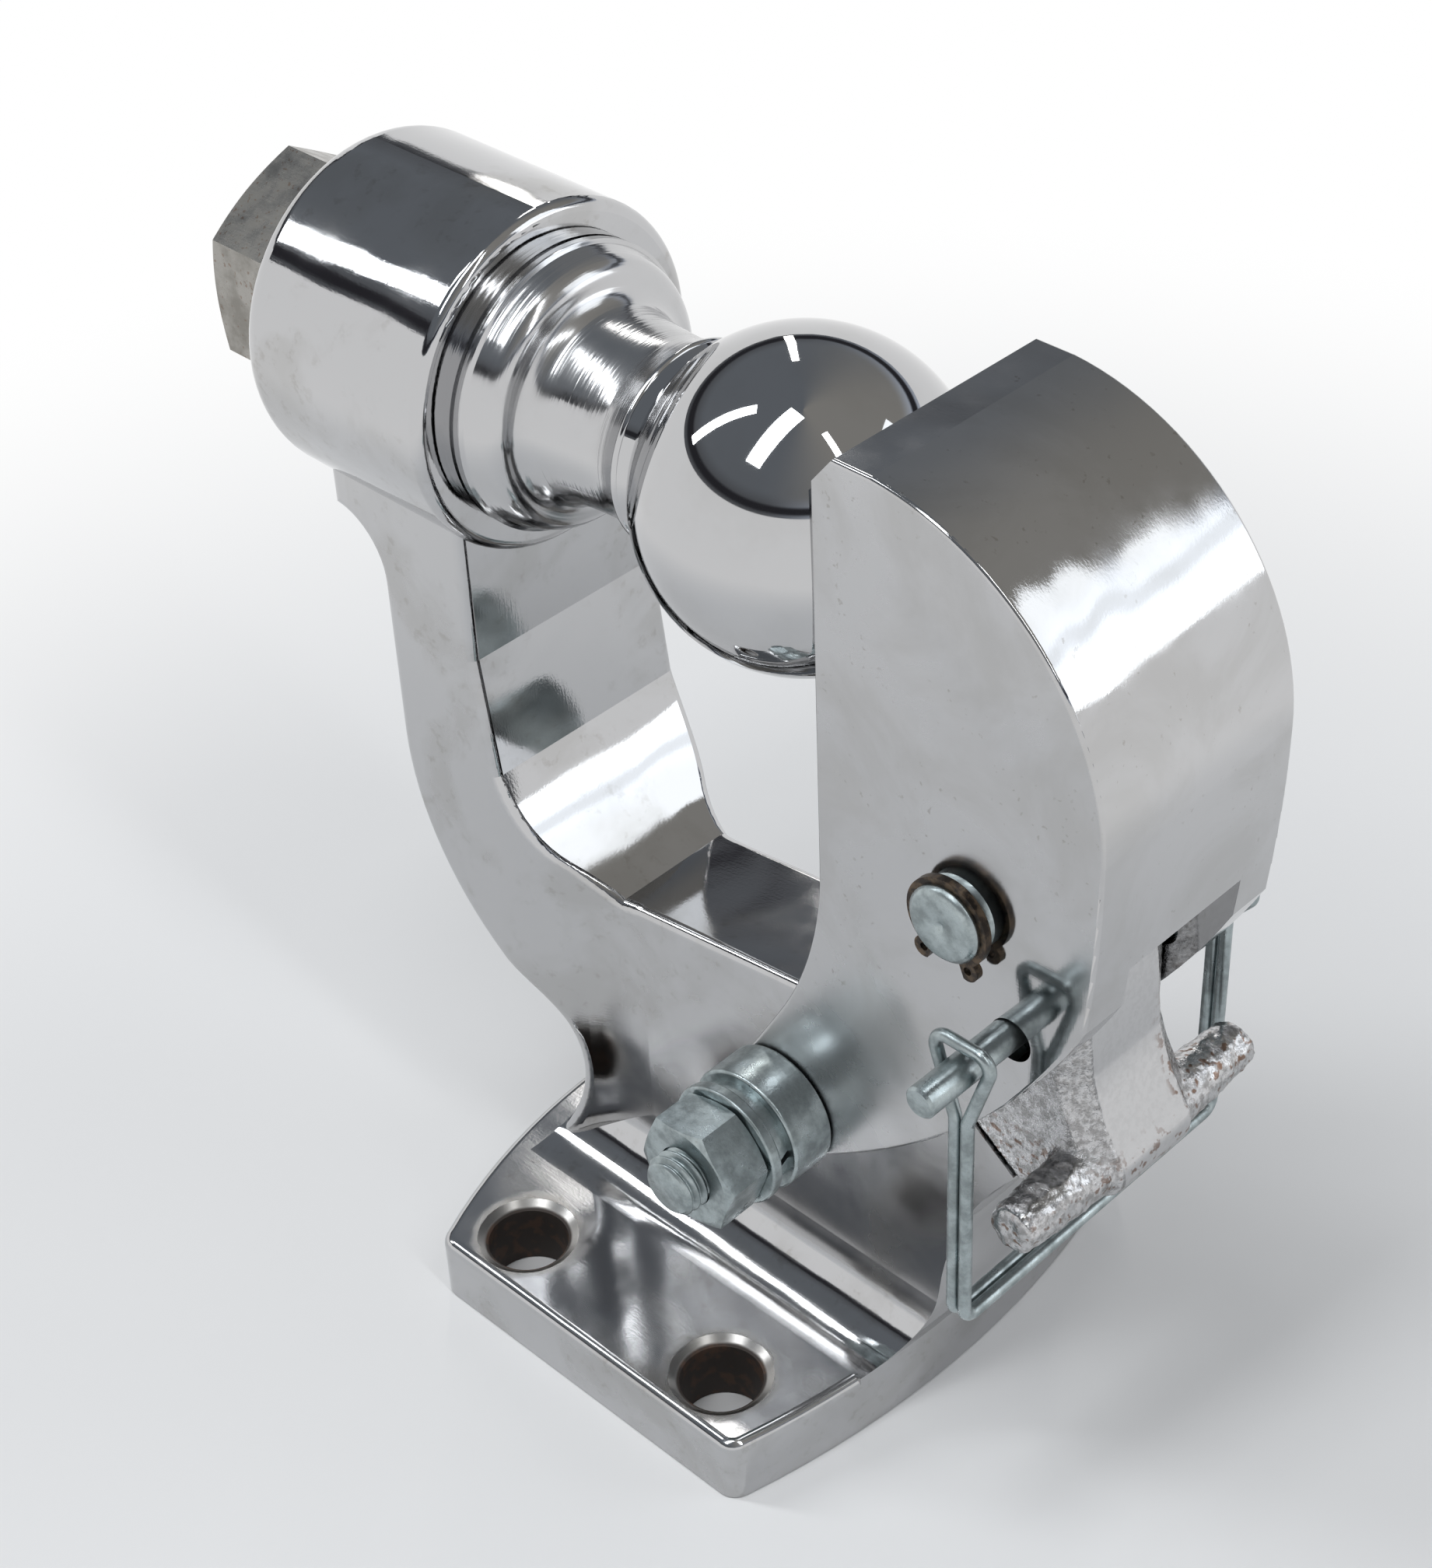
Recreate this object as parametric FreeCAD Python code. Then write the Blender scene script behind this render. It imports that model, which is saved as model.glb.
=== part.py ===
import FreeCAD, Part
import math
import os

# Tow hook with a ball stud and a swinging jaw, in millimetres.
# The origin is the middle of the bolt pattern on the mounting face, +Z up and +X from boss to jaw.

# Mounting plate
plate_thickness = 12.3
plate_half_width = 48.3
plate_back_side = -33.0
plate_front_side = 34.3
plate_back_middle = -44.0
plate_front_middle = 41.4
plate_corner_round = 3.5
plate_edge_round = 1.8
bolt_hole_diameter = 13.5
bolt_spacing_x = 45.0
bolt_edge_margin = 10.3
bolt_hole_chamfer = 2.0

# Lug and its coves
lug_half_width = 12.0
cove_radius = 12.0
lug_top_height = 74.0
ledge_tip_x = 60.0
ledge_tip_z = 61.5
ledge_angle = 37.0
front_face_break_x = 46.0
front_face_break_z = 27.3
front_face_hollow = 65.0
back_notch_x = -37.0
back_waist_x = -33.6
back_waist_z = 38.4

# Arm
arm_half_width = 20.0
arm_inner_x = -43.3
arm_outer_x = -63.4
arm_taper_start_x = -43.0
arm_taper_end_x = -18.0
floor_crease_x = -22.0
floor_crease_z = 69.0
wall_crease_x = -40.5
wall_crease_z = 89.0
throat_corner_radius = 36.0
wall_lean_top = 110.0
elbow_top = 88.0
elbow_foot_x = -40.6
elbow_foot_z = 47.2
arm_inner_round = 1.6
arm_outer_round = 2.0
boss_blend_round = 10.0
boss_blend_overlap = 1.6

# Boss
ball_axis_height = 152.4
boss_radius = 27.5
boss_front_x = -40.8
boss_length = 40.2
boss_front_round = 1.8
boss_back_round = 3.6

# Ball stud, its lock washer and its nut
ball_radius = 25.0
ball_centre_x = 9.5
shank_diameter = 22.2
shank_clearance = 0.1
neck_radius = 14.3
neck_foot_radius = 15.2
neck_middle_x = -19.0
neck_foot_x = -29.0
lip_radius = 15.6
lip_x = -12.2
flange_radius = 22.7
flange_seat_length = 1.6
flange_groove_length = 0.8
flange_groove_depth = 1.0
flange_ring_length = 1.2
bell_step = 0.6
bell_length = 6.6
bell_taper = 0.8
bell_shoulder = 3.4
stud_washer_thickness = 3.4
stud_washer_width = 5.2
stud_nut_across_flats = 33.3
stud_nut_height = 16.4
stud_end_beyond_nut = 4.0
stud_end_chamfer = 1.6
split_gap = 2.2

# Jaw
jaw_half_width = 20.4
jaw_pocket_half_width = 12.3
pivot_x = 21.0
pivot_z = 58.5
toe_radius = 9.5
jaw_throat_x = 29.6
jaw_throat_straight = 110.0
jaw_throat_radius = 66.0
jaw_throat_foot = 76.5
jaw_tip_bevel = 5.0
jaw_back_centre_x = 37.0
jaw_back_centre_z = 136.0
jaw_back_radius = 42.2
jaw_web_foot_x = 77.5
jaw_web_foot_z = 107.0
jaw_belly_radius = 138.0
ball_relief_gap = 1.5
pocket_swing_radius = 40.5
pocket_top = 127.0
pocket_back_x = 43.5
pocket_front_x = 66.5
web_edge_z = 113.6
web_ledge_x = 73.0
web_ledge_z = 114.7
pocket_relief_z = 120.6
jaw_rim_round = 0.6

# Jaw pivot fasteners
pivot_bolt_diameter = 10.0
pivot_bolt_clearance = 0.06
cheek_side_gap = 0.25
collar_diameter = 21.0
collar_length = 8.0
pivot_washer_diameter = 20.5
pivot_washer_thickness = 2.0
lock_washer_diameter = 17.6
lock_washer_thickness = 2.5
pivot_nut_across_flats = 17.0
pivot_nut_height = 8.4
pivot_bolt_overhang = 3.9
pivot_head_height = 6.4

# Pawl
pawl_pivot_x = 55.8
pawl_pivot_z = 116.2
pawl_half_width = 11.9
pawl_strip_half_width = 7.7
pawl_head_radius = 9.5
pawl_back_x = 47.2
pawl_knee_x = 69.9
pawl_knee_z = 85.5
pawl_foot_x = 60.3
pawl_bevel = 3.4
pawl_ledge_gap = 0.3
horn_x = 70.7
horn_z = 69.4
hub_radius = 5.8
horn_root_radius = 5.0
horn_end_radius = 3.9
horn_reach = 26.3
horn_end_round = 0.7
pawl_pin_diameter = 12.0
pawl_pin_clearance = 0.06
pawl_pin_standout = 5.8
pawl_pin_chamfer = 0.7
pawl_pin_groove_depth = 0.7
clip_thickness = 1.2
clip_width = 1.7
clip_end_margin = 1.3
clip_ear_radius = 1.7
clip_ear_hole = 0.65
clip_gap_angle = 44.0
pawl_travel = 40.0

# Pawl spring
spring_wire = 0.9
spring_coil_radius = 2.3
spring_turns = 4.0
spring_seat_depth = 4.0
spring_height = 105.0
pocket_back_lean = 1.5
pocket_back_bend = 95.0

# Safety pin and its wire bail
safety_x = 64.2
safety_z = 98.9
safety_diameter = 5.0
safety_hole_diameter = 7.0
safety_seat_gap = 0.05
safety_rest_angle = -23.0
safety_slot_clearance = 0.3
safety_near_reach = 38.5
safety_far_reach = 33.0
ferrule_diameter = 8.0
ferrule_length = 7.0
safety_chamfer = 0.4
bail_wire = 2.0
bail_spread = 2.2
bail_leg_y = 29.5
bail_foot_z = 50.0
bail_loop_top = 4.4
bail_loop_half_width = 5.6
bail_loop_join = 9.5
bail_bend = 2.2

NODES = {}


def vec(x, y, z):
    return FreeCAD.Vector(x, y, z)


def side_point(x, z):
    return vec(x, 0, z)


def arc_edge(start, end, radius, normal):
    """Arc from start to end; a positive radius bulges to the left as seen along the normal."""
    chord = end - start
    half = chord.Length / 2
    sagitta = abs(radius) - math.sqrt(radius * radius - half * half)
    left = normal.cross(chord)
    left.normalize()
    turn = 1 if radius > 0 else -1
    middle = (start + end) * 0.5 + left * (sagitta * turn)
    return Part.Arc(start, middle, end).toShape()


def closed_face(start, legs, normal):
    """Face from legs of (end point, arc radius), where a radius of 0 is a straight leg."""
    edges = []
    here = start
    for end, radius in legs:
        if radius:
            edges.append(arc_edge(here, end, radius, normal))
        else:
            edges.append(Part.makeLine(here, end))
        here = end
    return Part.Face(Part.Wire(edges))


def side_face(start, legs):
    """Closed outline in the XZ plane, seen from -Y with +X right and +Z up."""
    points = [(side_point(x, z), radius) for x, z, radius in legs]
    return closed_face(side_point(*start), points, vec(0, -1, 0))


def side_prism(face, half_width):
    moved = face.translated(vec(0, -half_width, 0))
    return moved.extrude(vec(0, 2 * half_width, 0))


def rod_y(radius, x, z, start, end):
    """Cylinder along Y from start to end."""
    return Part.makeCylinder(radius, end - start, vec(x, start, z), vec(0, 1, 0))


def hex_prism(across_flats, height, base, axis, turn=0.0):
    """Hexagon prism with both rims chamfered by the usual cone."""
    corner = across_flats / math.sqrt(3)
    start = vec(corner, 0, 0)
    points = []
    for step in range(7):
        angle = math.radians(60 * step + turn)
        points.append(vec(corner * math.cos(angle), corner * math.sin(angle), 0))
    prism = Part.Face(Part.makePolygon(points)).extrude(vec(0, 0, height))
    rise = (corner - across_flats / 2) * 0.55
    rim = across_flats / 2 * 0.97
    half = [vec(0, 0, 0), vec(rim, 0, 0), vec(corner + 0.1, 0, rise), vec(corner + 0.1, 0, height - rise)]
    half += [vec(rim, 0, height), vec(0, 0, height), vec(0, 0, 0)]
    cone = Part.Face(Part.makePolygon(half)).revolve(vec(0, 0, 0), vec(0, 0, 1), 360)
    nut = prism.common(cone)
    nut.Placement = FreeCAD.Placement(base, FreeCAD.Rotation(vec(0, 0, 1), axis))
    return nut


def split_ring(inner, outer, thickness, base, axis, gap, slant):
    """Flat ring with one slanted split."""
    ring = Part.makeCylinder(outer, thickness).cut(Part.makeCylinder(inner, thickness))
    blade = Part.makeBox(outer * 1.2, gap, thickness * 3, vec(0, -gap / 2, -thickness))
    blade.rotate(vec(0, 0, thickness / 2), vec(1, 0, 0), slant)
    ring = ring.cut(blade)
    ring.Placement = FreeCAD.Placement(base, FreeCAD.Rotation(vec(0, 0, 1), axis))
    return ring


# Hook body

def plan_plate():
    """Plate outline with bowed front and back edges and rounded corners."""
    side = plate_half_width
    edges = []
    front = Part.Arc(vec(plate_front_side, -side, 0), vec(plate_front_middle, 0, 0), vec(plate_front_side, side, 0))
    back = Part.Arc(vec(plate_back_side, side, 0), vec(plate_back_middle, 0, 0), vec(plate_back_side, -side, 0))
    edges.append(Part.makeLine(vec(plate_back_side, -side, 0), vec(plate_front_side, -side, 0)))
    edges.append(front.toShape())
    edges.append(Part.makeLine(vec(plate_front_side, side, 0), vec(plate_back_side, side, 0)))
    edges.append(back.toShape())
    return Part.Face(Part.Wire(edges))


def rounded_plate():
    plate = plan_plate().extrude(vec(0, 0, plate_thickness))
    corners = [e for e in plate.Edges if abs(e.BoundBox.ZLength - plate_thickness) < 0.01]
    plate = plate.makeFillet(plate_corner_round, corners)
    top = [e for e in plate.Edges if e.BoundBox.ZMin > plate_thickness - 0.01]
    return plate.makeFillet(plate_edge_round, top)


def front_arc_radius():
    rise = plate_front_middle - plate_front_side
    return (plate_half_width ** 2 + rise ** 2) / (2 * rise)


def front_trim():
    """What lies in front of the polished front face, turned about the plate's front arc centre."""
    far = ledge_tip_x + 40
    legs = [(plate_front_middle, plate_thickness, 0)]
    legs.append((front_face_break_x, front_face_break_z, -46.0))
    legs.append((ledge_tip_x, ledge_tip_z, front_face_hollow))
    legs += [(ledge_tip_x, ledge_tip_z + 15, 0), (far, ledge_tip_z + 15, 0), (far, -1, 0)]
    legs.append((plate_front_middle, -1, 0))
    face = side_face((plate_front_middle, -1), legs)
    centre = vec(plate_front_middle - front_arc_radius(), 0, 0)
    face.rotate(centre, vec(0, 0, 1), -30)
    return face.revolve(centre, vec(0, 0, 1), 60)


def ledge_height(x):
    """Height of the sloping ledge that stops the pawl."""
    return ledge_tip_z + (ledge_tip_x - x) * math.tan(math.radians(ledge_angle))


def smooth_arc(start, heading, end):
    """Radius of the arc that leaves start along heading and reaches end, and its heading there."""
    run = end[0] - start[0]
    rise = end[1] - start[1]
    swing = math.degrees(math.atan2(rise, run)) - heading
    swing = (swing + 180) % 360 - 180
    radius = -math.hypot(run, rise) / (2 * math.sin(math.radians(swing)))
    return radius, heading + 2 * swing


def hook_side():
    """Lug and arm in one side view."""
    over = ledge_tip_x + 6
    ledge_back = ledge_tip_x - (lug_top_height - ledge_tip_z) / math.tan(math.radians(ledge_angle))
    legs = [(over, 0, 0), (over, ledge_height(over), 0), (ledge_back, lug_top_height, 0)]
    legs.append((pivot_x - 4, lug_top_height, 0))
    legs.append((floor_crease_x, floor_crease_z, 0))
    legs.append((wall_crease_x, wall_crease_z, throat_corner_radius))
    legs.append((arm_inner_x, wall_lean_top, 0))
    legs.append((arm_inner_x, ball_axis_height, 0))
    gusset_x = arm_outer_x - boss_blend_round
    gusset_z = ball_axis_height - boss_radius + boss_blend_overlap
    legs.append((gusset_x, ball_axis_height, 0))
    legs.append((gusset_x, gusset_z, 0))
    legs.append((arm_outer_x, gusset_z - boss_blend_round, boss_blend_round * 1.001))
    legs.append((arm_outer_x, elbow_top, 0))
    here = (arm_outer_x, elbow_top)
    heading = -90.0
    for place in ((elbow_foot_x, elbow_foot_z), (back_waist_x, back_waist_z), (back_notch_x, plate_thickness)):
        radius, heading = smooth_arc(here, heading, place)
        legs.append((place[0], place[1], radius))
        here = place
    legs.append((back_notch_x, 0, 0))
    return side_face((back_notch_x, 0), legs)


def arm_plan():
    """Plan outline that narrows from the arm to the lug in an S curve."""
    wide = arm_half_width
    slim = lug_half_width
    run = arm_taper_end_x - arm_taper_start_x
    drop = wide - slim
    bend = (run * run + drop * drop) / (4 * drop)
    middle_x = (arm_taper_start_x + arm_taper_end_x) / 2
    middle_y = (wide + slim) / 2
    back = arm_outer_x - 20
    front = ledge_tip_x + 10
    legs = [(vec(arm_taper_start_x, -wide, 0), 0)]
    legs.append((vec(middle_x, -middle_y, 0), -bend))
    legs.append((vec(arm_taper_end_x, -slim, 0), bend))
    legs += [(vec(front, -slim, 0), 0), (vec(front, slim, 0), 0), (vec(arm_taper_end_x, slim, 0), 0)]
    legs.append((vec(middle_x, middle_y, 0), bend))
    legs.append((vec(arm_taper_start_x, wide, 0), -bend))
    legs += [(vec(back, wide, 0), 0), (vec(back, -wide, 0), 0)]
    return closed_face(vec(back, -wide, 0), legs, vec(0, 0, 1))


def arm_and_lug():
    side = side_prism(hook_side(), arm_half_width + 1)
    plan = arm_plan().extrude(vec(0, 0, ball_axis_height + 10))
    return side.common(plan)


def cove_block():
    """Both coves beside the foot of the lug, trimmed to the side view."""
    top = plate_thickness + cove_radius
    wide = lug_half_width + cove_radius
    slim = lug_half_width
    start = vec(plate_back_middle, -wide, 0)
    here = plate_back_middle
    bend = cove_radius
    corner = (wide - cove_radius * math.cos(math.radians(45)), top - cove_radius * math.sin(math.radians(45)))
    edges = [Part.makeLine(vec(here, -wide, 0), vec(here, wide, 0))]
    edges.append(Part.makeLine(vec(here, wide, 0), vec(here, wide, plate_thickness)))
    edges.append(Part.Arc(vec(here, wide, plate_thickness), vec(here, corner[0], corner[1]), vec(here, slim, top)).toShape())
    edges.append(Part.makeLine(vec(here, slim, top), vec(here, -slim, top)))
    edges.append(Part.Arc(vec(here, -slim, top), vec(here, -corner[0], corner[1]), vec(here, -wide, plate_thickness)).toShape())
    edges.append(Part.makeLine(vec(here, -wide, plate_thickness), vec(here, -wide, 0)))
    block = Part.Face(Part.Wire(edges)).extrude(vec(ledge_tip_x - here, 0, 0))
    return block.common(side_prism(hook_side(), wide + 1))


def boss():
    body = Part.makeCylinder(boss_radius, boss_length, vec(boss_front_x - boss_length, 0, ball_axis_height), vec(1, 0, 0))
    front = [e for e in body.Edges if e.BoundBox.XMin > boss_front_x - 0.01]
    back = [e for e in body.Edges if e.BoundBox.XMax < boss_front_x - boss_length + 0.01]
    body = body.makeFillet(boss_front_round, front)
    back = [e for e in body.Edges if e.BoundBox.XMax < boss_front_x - boss_length + 0.01]
    return body.makeFillet(boss_back_round, back)


def bolt_spacing_y():
    return 2 * (plate_half_width - bolt_edge_margin)


def bolt_places():
    places = []
    for x in (-bolt_spacing_x / 2, bolt_spacing_x / 2):
        for y in (-bolt_spacing_y() / 2, bolt_spacing_y() / 2):
            places.append((x, y))
    return places


def bolt_hole(x, y):
    """Plain hole with a worn chamfer at its top."""
    radius = bolt_hole_diameter / 2
    hole = Part.makeCylinder(radius, plate_thickness + 2, vec(x, y, -1))
    wide = radius + bolt_hole_chamfer
    cone = Part.makeCone(radius, wide + 0.5, bolt_hole_chamfer * 0.6 + 0.5, vec(x, y, plate_thickness - bolt_hole_chamfer * 0.6))
    return hole.fuse(cone)


def make_hook_body():
    arm = arm_and_lug()
    arm = arm.makeFillet(arm_outer_round, [e for e in arm.Edges if is_rim(e, False)])
    arm = arm.makeFillet(arm_inner_round, [e for e in arm.Edges if is_rim(e, True)])
    body = rounded_plate().fuse([cove_block(), arm]).removeSplitter()
    body = body.cut(front_trim())
    body = body.fuse(boss()).removeSplitter()
    for x, y in bolt_places():
        body = body.cut(bolt_hole(x, y))
    bore = Part.makeCylinder(shank_diameter / 2 + shank_clearance, boss_length + 20)
    bore.Placement = FreeCAD.Placement(vec(boss_front_x - boss_length - 10, 0, ball_axis_height), FreeCAD.Rotation(vec(0, 0, 1), vec(1, 0, 0)))
    body = body.cut(bore)
    hole = rod_y(pivot_bolt_diameter / 2 + pivot_bolt_clearance, pivot_x, pivot_z, -lug_half_width - 5, lug_half_width + 5)
    return body.cut(hole)


def is_rim(edge, inner):
    """Long edges between the side walls and the arm's inner or outer face, above the cove."""
    box = edge.BoundBox
    middle = edge.valueAt((edge.FirstParameter + edge.LastParameter) / 2)
    if abs(middle.y) < lug_half_width - 0.5 or box.ZMin < plate_thickness + cove_radius - 0.5:
        return False
    if box.XMin > arm_taper_end_x - 1 or box.ZLength < 0.5 and box.XLength < 0.5:
        return False
    if box.ZMin > ball_axis_height - 1:
        return False
    on_inner = middle.x > arm_inner_x - 1 and middle.z > 60
    return on_inner if inner else not on_inner


# Ball stud

def make_hitch_ball():
    """Ball, neck, bell flange and shank as one turned piece."""
    seat = boss_front_x
    ring = seat + flange_seat_length + flange_groove_length
    bell = ring + flange_ring_length
    bell_radius = flange_radius - bell_step
    bell_end = seat + bell_length
    shoulder_radius = bell_radius - bell_taper
    shank = shank_diameter / 2
    back = boss_front_x - boss_length - stud_washer_thickness - stud_nut_height - stud_end_beyond_nut
    sphere_x = ball_centre_x - math.sqrt(ball_radius ** 2 - neck_foot_radius ** 2)
    z0 = ball_axis_height
    turn = vec(0, -1, 0)
    flank = (neck_foot_x + bell_end) / 2
    waist = (neck_foot_radius + shoulder_radius - bell_shoulder) / 2
    legs = [(vec(back, 0, z0 + shank - stud_end_chamfer), 0)]
    legs.append((vec(back + stud_end_chamfer, 0, z0 + shank), 0))
    legs.append((vec(seat, 0, z0 + shank), 0))
    legs.append((vec(seat, 0, z0 + flange_radius), 0))
    legs.append((vec(seat + flange_seat_length, 0, z0 + flange_radius), 0))
    legs.append((vec(seat + flange_seat_length, 0, z0 + flange_radius - flange_groove_depth), 0))
    legs.append((vec(ring, 0, z0 + flange_radius - flange_groove_depth), 0))
    legs.append((vec(ring, 0, z0 + flange_radius), 0))
    legs.append((vec(bell, 0, z0 + flange_radius), 0))
    legs.append((vec(bell + 0.4, 0, z0 + bell_radius), 0))
    legs.append((vec(bell_end, 0, z0 + shoulder_radius), 0))
    legs.append((vec(flank, 0, z0 + shoulder_radius - bell_shoulder), 3.6))
    legs.append((vec(neck_foot_x, 0, z0 + neck_foot_radius), -4.6))
    legs.append((vec(neck_middle_x, 0, z0 + neck_radius), -70.0))
    legs.append((vec(lip_x - 1.2, 0, z0 + lip_radius), -14.0))
    legs.append((vec(lip_x, 0, z0 + lip_radius), 0.7))
    legs.append((vec(sphere_x, 0, z0 + neck_foot_radius), 0))
    legs.append((vec(ball_centre_x + ball_radius, 0, z0), ball_radius))
    here = vec(back, 0, z0)
    edges = []
    for end, radius in legs[:-1]:
        edges.append(arc_edge(here, end, radius, turn) if radius else Part.makeLine(here, end))
        here = end
    crown = vec(ball_centre_x, 0, z0 + ball_radius)
    edges.append(Part.Arc(here, crown, legs[-1][0]).toShape())
    edges.append(Part.makeLine(legs[-1][0], vec(back, 0, z0)))
    return Part.Face(Part.Wire(edges)).revolve(vec(0, 0, z0), vec(1, 0, 0), 360)


def make_ball_lock_washer():
    base = vec(boss_front_x - boss_length, 0, ball_axis_height)
    inner = shank_diameter / 2 + shank_clearance
    return split_ring(inner, inner + stud_washer_width, stud_washer_thickness, base, vec(-1, 0, 0), split_gap, 25)


def make_ball_nut():
    base = vec(boss_front_x - boss_length - stud_washer_thickness, 0, ball_axis_height)
    nut = hex_prism(stud_nut_across_flats, stud_nut_height, base, vec(-1, 0, 0), 0)
    bore = Part.makeCylinder(shank_diameter / 2 + shank_clearance, stud_nut_height + 2)
    bore.Placement = FreeCAD.Placement(base + vec(1, 0, 0), FreeCAD.Rotation(vec(0, 0, 1), vec(-1, 0, 0)))
    return nut.cut(bore)


# Jaw

def toe_touch(angle):
    """Point on the toe circle round the jaw pivot."""
    return (pivot_x + toe_radius * math.cos(math.radians(angle)), pivot_z + toe_radius * math.sin(math.radians(angle)))


def jaw_face():
    """Crescent side view of the jaw with its round toe."""
    belly_x, belly_z = toe_touch(-57)
    throat_x, throat_z = toe_touch(150)
    toe_x, toe_z = toe_touch(226)
    top_x = jaw_back_centre_x + 3
    rise = math.sqrt(jaw_back_radius ** 2 - 9)
    top_z = jaw_back_centre_z + rise
    far_x = jaw_back_centre_x + jaw_back_radius
    foot_x = jaw_throat_x - jaw_throat_radius + math.sqrt(jaw_throat_radius ** 2 - (jaw_throat_straight - jaw_throat_foot) ** 2)
    turn = vec(0, -1, 0)
    edges = []
    throat_top = side_point(jaw_throat_x, top_z - jaw_tip_bevel)
    tip = side_point(jaw_throat_x + jaw_tip_bevel * 0.8, top_z)
    back_top = side_point(top_x, top_z)
    back_far = side_point(far_x, jaw_back_centre_z)
    lean = math.radians(48)
    back_mid = side_point(jaw_back_centre_x + jaw_back_radius * math.cos(lean), jaw_back_centre_z + jaw_back_radius * math.sin(lean))
    web_foot = side_point(jaw_web_foot_x, jaw_web_foot_z)
    belly = side_point(belly_x, belly_z)
    toe_low = side_point(toe_x, toe_z)
    throat_foot = side_point(throat_x, throat_z)
    throat_bend = side_point(foot_x, jaw_throat_foot)
    straight = side_point(jaw_throat_x, jaw_throat_straight)
    edges.append(Part.makeLine(throat_top, tip))
    edges.append(Part.makeLine(tip, back_top))
    edges.append(Part.Arc(back_top, back_mid, back_far).toShape())
    edges.append(arc_edge(back_far, web_foot, 220.0, turn))
    edges.append(arc_edge(web_foot, belly, jaw_belly_radius, turn))
    edges.append(Part.Arc(belly, toe_low, throat_foot).toShape())
    edges.append(Part.makeLine(throat_foot, throat_bend))
    edges.append(arc_edge(throat_bend, straight, -jaw_throat_radius, turn))
    edges.append(Part.makeLine(straight, throat_top))
    return Part.Face(Part.Wire(edges))


def jaw_pocket():
    """Slot between the cheeks for the lug and the pawl."""
    disc = rod_y(pocket_swing_radius, pivot_x, pivot_z, -jaw_pocket_half_width, jaw_pocket_half_width)
    far = jaw_back_centre_x + jaw_back_radius + 15
    low = pivot_z - 8
    legs = [(far, low, 0), (far, web_edge_z - 1.6, 0), (far - 15, web_edge_z, 0)]
    legs.append((web_ledge_x, web_ledge_z, 0))
    legs.append((pocket_front_x, pocket_relief_z, 0))
    legs += [(pocket_front_x, pocket_top, 0), (pocket_back_x + pocket_back_lean, pocket_top, 0)]
    legs.append((pocket_back_x, pocket_back_bend, 0))
    legs.append((pocket_back_x, low, 0))
    slot = side_prism(side_face((pocket_back_x, low), legs), jaw_pocket_half_width)
    return disc.fuse(slot)


def safety_hole_centre():
    """The pin rests against one side of its loose holes in the cheeks."""
    offset = (safety_hole_diameter - safety_diameter) / 2 - safety_seat_gap
    angle = math.radians(safety_rest_angle)
    return (safety_x + offset * math.cos(angle), safety_z + offset * math.sin(angle))


def make_jaw():
    body = side_prism(jaw_face(), jaw_half_width)
    rims = [e for e in body.Edges if e.BoundBox.YLength < 0.01 and e.Length > 30 and e.BoundBox.XMax > jaw_throat_x + 10]
    body = body.makeFillet(jaw_rim_round, rims)
    body = body.cut(Part.makeSphere(ball_radius + ball_relief_gap, vec(ball_centre_x, 0, ball_axis_height)))
    body = body.cut(jaw_pocket())
    reach = jaw_half_width + 5
    body = body.cut(rod_y(pivot_bolt_diameter / 2 + pivot_bolt_clearance, pivot_x, pivot_z, -reach, reach))
    body = body.cut(rod_y(pawl_pin_diameter / 2 + pawl_pin_clearance, pawl_pivot_x, pawl_pivot_z, -reach, reach))
    hole_x, hole_z = safety_hole_centre()
    body = body.cut(rod_y(safety_hole_diameter / 2, hole_x, hole_z, -reach, reach))
    return body


# Jaw pivot fasteners

def collar_start():
    return jaw_half_width + cheek_side_gap


def ring_y(outer, inner, thickness, start):
    """Ring round the jaw pivot, from start outwards on the near or the far side."""
    side = -1 if start < 0 else 1
    ring = Part.makeCylinder(outer, thickness, vec(pivot_x, start, pivot_z), vec(0, side, 0))
    return ring.cut(Part.makeCylinder(inner, thickness, vec(pivot_x, start, pivot_z), vec(0, side, 0)))


def rounded_ring(outer, inner, thickness, start, edge_round):
    ring = ring_y(outer, inner, thickness, start)
    rims = [e for e in ring.Edges if e.BoundBox.XLength > 1.9 * outer and e.BoundBox.YLength < 0.01]
    return ring.makeFillet(edge_round, rims)


def bolt_bore():
    return pivot_bolt_diameter / 2 + pivot_bolt_clearance


def make_collar(side):
    return rounded_ring(collar_diameter / 2, bolt_bore(), collar_length, side * collar_start(), 0.5)


def near_stack(level):
    """Distance from the middle to each face of the near fastener stack."""
    faces = [collar_start() + collar_length]
    faces.append(faces[-1] + lock_washer_thickness)
    faces.append(faces[-1] + pivot_washer_thickness)
    faces.append(faces[-1] + pivot_nut_height)
    return faces[level]


def make_lock_washer():
    base = vec(pivot_x, -near_stack(0), pivot_z)
    return split_ring(bolt_bore(), lock_washer_diameter / 2, lock_washer_thickness, base, vec(0, -1, 0), 1.2, 30)


def make_near_washer():
    return rounded_ring(pivot_washer_diameter / 2, bolt_bore(), pivot_washer_thickness, -near_stack(1), 0.4)


def make_far_washer():
    return rounded_ring(pivot_washer_diameter / 2, bolt_bore(), pivot_washer_thickness, near_stack(0), 0.4)


def make_pivot_nut():
    base = vec(pivot_x, -near_stack(2), pivot_z)
    nut = hex_prism(pivot_nut_across_flats, pivot_nut_height, base, vec(0, -1, 0), 10)
    return nut.cut(rod_y(bolt_bore(), pivot_x, pivot_z, -near_stack(3) - 1, -near_stack(2) + 1))


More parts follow.
